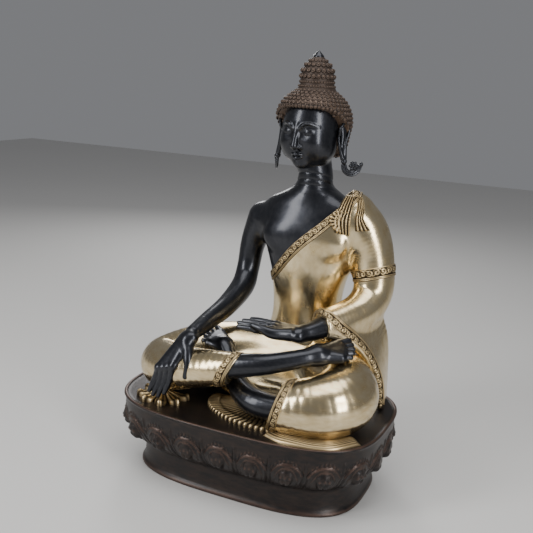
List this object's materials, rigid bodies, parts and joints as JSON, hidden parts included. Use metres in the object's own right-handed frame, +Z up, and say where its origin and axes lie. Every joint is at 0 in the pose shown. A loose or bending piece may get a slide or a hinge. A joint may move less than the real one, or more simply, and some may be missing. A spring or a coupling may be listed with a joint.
{
  "type": "buddha statue",
  "caption": "Seated Buddha in the earth-touching gesture on an oval lotus base, black and polished brass castings socketed together over a hollow base",
  "frame": {"origin": "the middle of the base's underside, on the surface that the statue stands on", "axes": "+Z up; the figure faces -Y; +X is the figure's left side"},
  "size_m": [0.44, 0.296, 0.68],
  "materials": {
    "polished_brass": "buffed pale brass, soft highlights",
    "antique_brass": "brass darkened in its grooves",
    "black_bronze": "blue-black oxidised and waxed",
    "brown_patina": "brown patina on fine curls",
    "dark_base_patina": "near-black patina worn to red-brown on edges",
    "plain_steel": "plain zinc-free steel"
  },
  "bodies": {
    "root": {"lotus_base": "dark_base_patina", "base_plate": "antique_brass", "plate_post_1": "antique_brass", "plate_post_2": "antique_brass", "plate_post_3": "antique_brass", "plate_post_4": "antique_brass", "plate_screw_1": "plain_steel", "plate_screw_2": "plain_steel", "plate_screw_3": "plain_steel", "plate_screw_4": "plain_steel", "fixing_stud_1": "plain_steel", "fixing_stud_2": "plain_steel", "fixing_stud_3": "plain_steel", "washer_1": "plain_steel", "washer_2": "plain_steel", "washer_3": "plain_steel", "nut_1": "plain_steel", "nut_2": "plain_steel", "nut_3": "plain_steel", "lap_robe": "polished_brass", "torso_robe": "polished_brass", "left_sleeve": "polished_brass", "shoulder_pleats": "antique_brass", "front_robe_fan": "antique_brass", "left_hem_fold": "antique_brass", "right_hem_frill": "antique_brass", "bare_chest": "black_bronze", "right_arm": "black_bronze", "right_hand": "black_bronze", "left_hand": "black_bronze", "right_shin": "black_bronze", "left_shin": "black_bronze", "head": "black_bronze", "left_ear": "black_bronze", "right_ear": "black_bronze", "left_ear_ornament": "black_bronze", "right_ear_ornament": "black_bronze", "flame_jewel": "black_bronze", "hair_cap": "brown_patina", "hair_bun": "brown_patina"}
  },
  "joints": []
}
